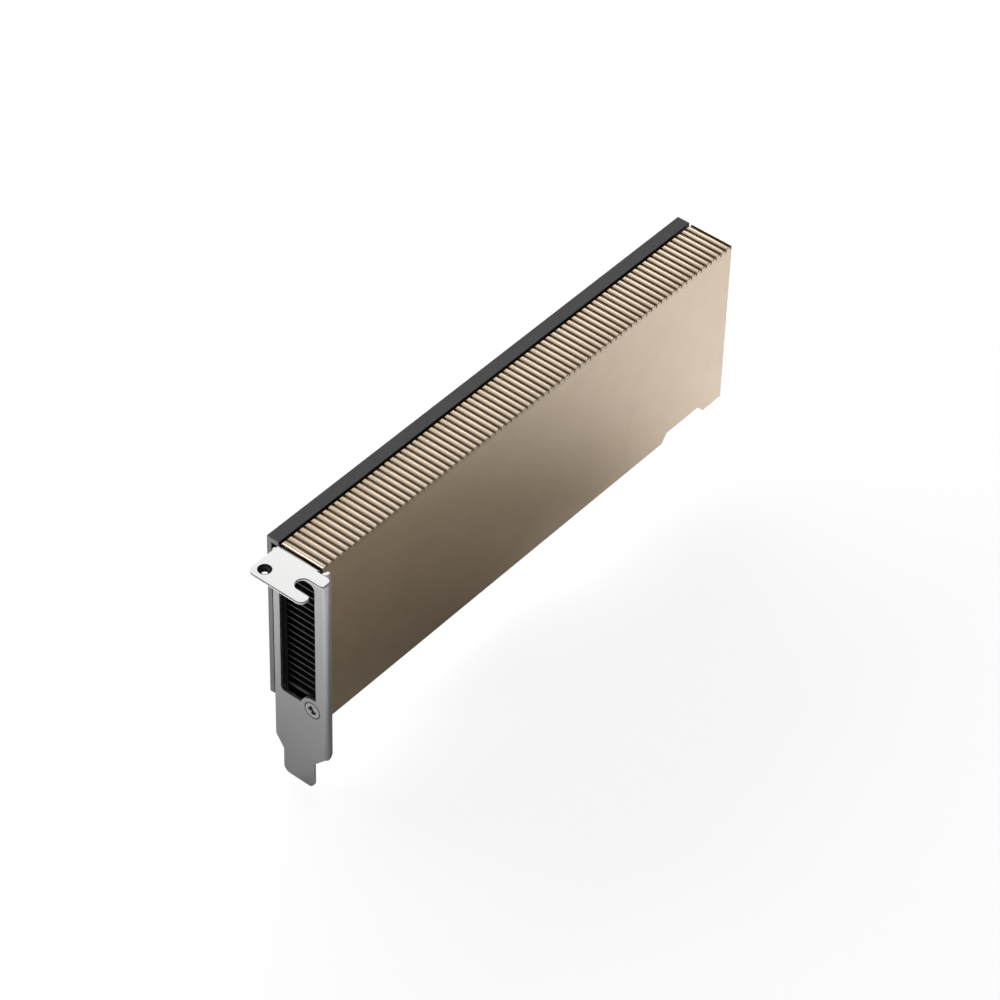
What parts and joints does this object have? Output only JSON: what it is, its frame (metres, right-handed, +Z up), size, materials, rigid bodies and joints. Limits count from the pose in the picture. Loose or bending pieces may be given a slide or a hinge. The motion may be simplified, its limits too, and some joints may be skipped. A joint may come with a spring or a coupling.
{
  "type": "passive accelerator card",
  "caption": "Low-profile, half-length expansion card with a passive fin heat sink under a ribbed cover, dark back plate, board edge connector and steel slot bracket with an air window.",
  "frame": {"origin": "axis of the bracket's open screw slot, on the seat under the bracket's tab", "axes": "+X along the card away from the bracket, +Y from the cover's face to the back plate, +Z up out of the slot"},
  "size_m": [0.1766, 0.0231, 0.0792],
  "materials": {
    "cover_gold": "satin",
    "sink_aluminium": "satin",
    "back_dark": "matte",
    "film_black": "matte",
    "board_black": "satin",
    "contact_gold": "satin",
    "bracket_steel": "satin",
    "screw_steel": "satin",
    "screw_dark": "satin",
    "spacer_brass": "satin",
    "spring_steel": "satin",
    "package_green": "satin",
    "frame_nickel": "satin",
    "die_silicon": "polished",
    "paste_grey": "matte",
    "pad_grey": "matte",
    "chip_black": "matte",
    "ceramic_tan": "matte",
    "choke_grey": "matte",
    "capacitor_black": "matte"
  },
  "bodies": {
    "root": {"front_cover": "cover_gold", "heatsink": "sink_aluminium", "back_plate": "back_dark", "insulator_sheet": "film_black", "circuit_board": "board_black", "edge_contacts": "contact_gold", "bracket": "bracket_steel", "tab_bush": "screw_dark", "bracket_screws": "screw_steel", "cover_screws": "screw_dark", "board_spacers": "spacer_brass", "clamp_spring": "spring_steel", "clamp_screws": "screw_dark", "processor_package": "package_green", "package_frame": "frame_nickel", "processor_die": "die_silicon", "thermal_paste": "paste_grey", "package_capacitors": "ceramic_tan", "memory_chips": "chip_black", "memory_pads": "pad_grey", "power_stages": "chip_black", "power_stage_pad": "pad_grey", "inductors": "choke_grey", "bulk_capacitors": "capacitor_black", "input_fuse": "ceramic_tan", "power_controller": "chip_black", "firmware_chip": "chip_black", "monitor_chip": "chip_black", "clock_crystal": "frame_nickel", "back_capacitors": "ceramic_tan"}
  },
  "joints": []
}
